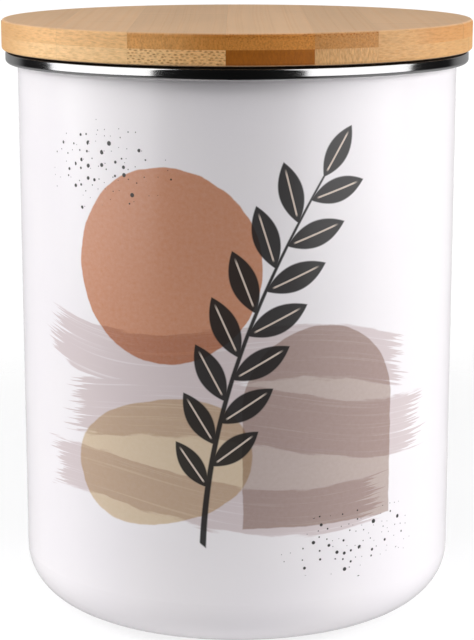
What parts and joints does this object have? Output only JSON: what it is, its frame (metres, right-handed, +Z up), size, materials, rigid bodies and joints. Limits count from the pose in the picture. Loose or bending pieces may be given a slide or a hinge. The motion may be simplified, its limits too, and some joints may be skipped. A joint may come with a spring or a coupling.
{
  "type": "biscuit tin",
  "caption": "Round enamelled steel kitchen canister with a polished steel rim ring and a flat laminated bamboo lid whose sealed plug sits in the mouth.",
  "frame": {"origin": "centre of the standing face, on the surface that the canister stands on", "axes": "+Z up along the canister's axis; -Y is the front with the printed design, +X is to the right seen from the front, and the lid's slats run along Y"},
  "size_m": [0.13, 0.13, 0.1637],
  "materials": {
    "enamel": "glossy white enamel with a printed design on the front",
    "rim_steel": "polished stainless steel",
    "bamboo_light": "light matte bamboo",
    "bamboo_tan": "tan matte bamboo",
    "bamboo_brown": "brown matte bamboo",
    "bamboo_dark": "dark steamed bamboo",
    "silicone": "soft translucent silicone"
  },
  "bodies": {
    "canister": {"canister_body": "enamel", "rim_ring": "rim_steel"},
    "lid": {"lid_top_slat_1": "bamboo_light", "lid_top_slat_2": "bamboo_light", "lid_top_slat_3": "bamboo_brown", "lid_top_slat_4": "bamboo_brown", "lid_top_slat_5": "bamboo_brown", "lid_top_slat_6": "bamboo_light", "lid_under_slat_1": "bamboo_light", "lid_under_slat_2": "bamboo_light", "lid_under_slat_3": "bamboo_tan", "lid_under_slat_4": "bamboo_dark", "lid_under_slat_5": "bamboo_tan", "lid_under_slat_6": "bamboo_light", "plug_upper_slat_1": "bamboo_light", "plug_upper_slat_2": "bamboo_tan", "plug_upper_slat_3": "bamboo_light", "plug_upper_slat_4": "bamboo_tan", "plug_upper_slat_5": "bamboo_light", "plug_upper_slat_6": "bamboo_tan", "plug_lower_slat_1": "bamboo_tan", "plug_lower_slat_2": "bamboo_light", "plug_lower_slat_3": "bamboo_tan", "plug_lower_slat_4": "bamboo_light", "plug_lower_slat_5": "bamboo_brown", "plug_lower_slat_6": "bamboo_light", "lid_seal": "silicone"}
  },
  "joints": [
    {"name": "lid_lift", "type": "slide", "parent": "canister", "child": "lid", "axis": [0, 0, 1], "range_m": [0, 0.16]}
  ]
}
